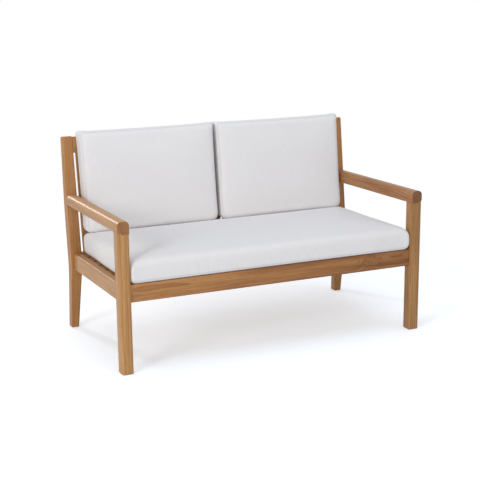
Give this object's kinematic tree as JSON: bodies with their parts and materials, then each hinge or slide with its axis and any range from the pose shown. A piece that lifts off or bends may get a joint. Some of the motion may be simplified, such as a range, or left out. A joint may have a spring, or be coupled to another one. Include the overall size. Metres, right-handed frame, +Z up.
{
  "type": "patio loveseat",
  "caption": "Two-seat outdoor loveseat: teak frame with slatted seat and back, rounded arms, and loose boxed cushions in off-white fabric.",
  "frame": {"origin": "on the floor, under the middle of the frame's outline", "axes": "+X to the sitter's left, which is the right as seen from the front; +Y from the front to the back; +Z up. The front of the seat faces -Y."},
  "size_m": [1.32, 0.7096, 0.8467],
  "materials": {
    "teak": "satin",
    "cushion_fabric": "matte",
    "foam": "matte",
    "zip": "satin",
    "screws": "satin"
  },
  "bodies": {
    "frame": {"front_leg_left": "teak", "front_leg_right": "teak", "back_post_left": "teak", "back_post_right": "teak", "arm_left": "teak", "arm_right": "teak", "side_rail_left": "teak", "side_rail_right": "teak", "slat_cleat_left": "teak", "slat_cleat_right": "teak", "corner_block_front_left": "teak", "corner_block_front_right": "teak", "corner_block_rear_left": "teak", "corner_block_rear_right": "teak", "front_rail": "teak", "rear_rail": "teak", "top_rail": "teak", "centre_bearer": "teak", "seat_slat_1": "teak", "seat_slat_2": "teak", "seat_slat_3": "teak", "seat_slat_4": "teak", "seat_slat_5": "teak", "seat_slat_6": "teak", "seat_slat_7": "teak", "back_slat_01": "teak", "back_slat_02": "teak", "back_slat_03": "teak", "back_slat_04": "teak", "back_slat_05": "teak", "back_slat_06": "teak", "back_slat_07": "teak", "back_slat_08": "teak", "back_slat_09": "teak", "back_slat_10": "teak", "back_slat_11": "teak", "back_slat_12": "teak", "back_slat_13": "teak", "back_slat_14": "teak", "back_slat_15": "teak", "back_slat_16": "teak", "back_slat_17": "teak", "slat_screws": "screws", "cleat_screws": "screws", "block_screws": "screws"},
    "seat_cushion": {"seat_cushion_cover": "cushion_fabric", "seat_cushion_core": "foam", "seat_cushion_zip": "zip"},
    "back_cushion_left": {"back_cushion_left_cover": "cushion_fabric", "back_cushion_left_core": "foam", "back_cushion_left_zip": "zip"},
    "back_cushion_right": {"back_cushion_right_cover": "cushion_fabric", "back_cushion_right_core": "foam", "back_cushion_right_zip": "zip"}
  },
  "joints": [
    {"name": "seat_cushion_lift", "type": "slide", "parent": "frame", "child": "seat_cushion", "axis": [0, 0, 1], "range_m": [0, 0.3]},
    {"name": "back_cushion_left_lift", "type": "slide", "parent": "seat_cushion", "child": "back_cushion_left", "axis": [0, 0.1212, 0.9926], "range_m": [0, 0.45]},
    {"name": "back_cushion_right_lift", "type": "slide", "parent": "seat_cushion", "child": "back_cushion_right", "axis": [0, 0.1212, 0.9926], "range_m": [0, 0.45]}
  ]
}
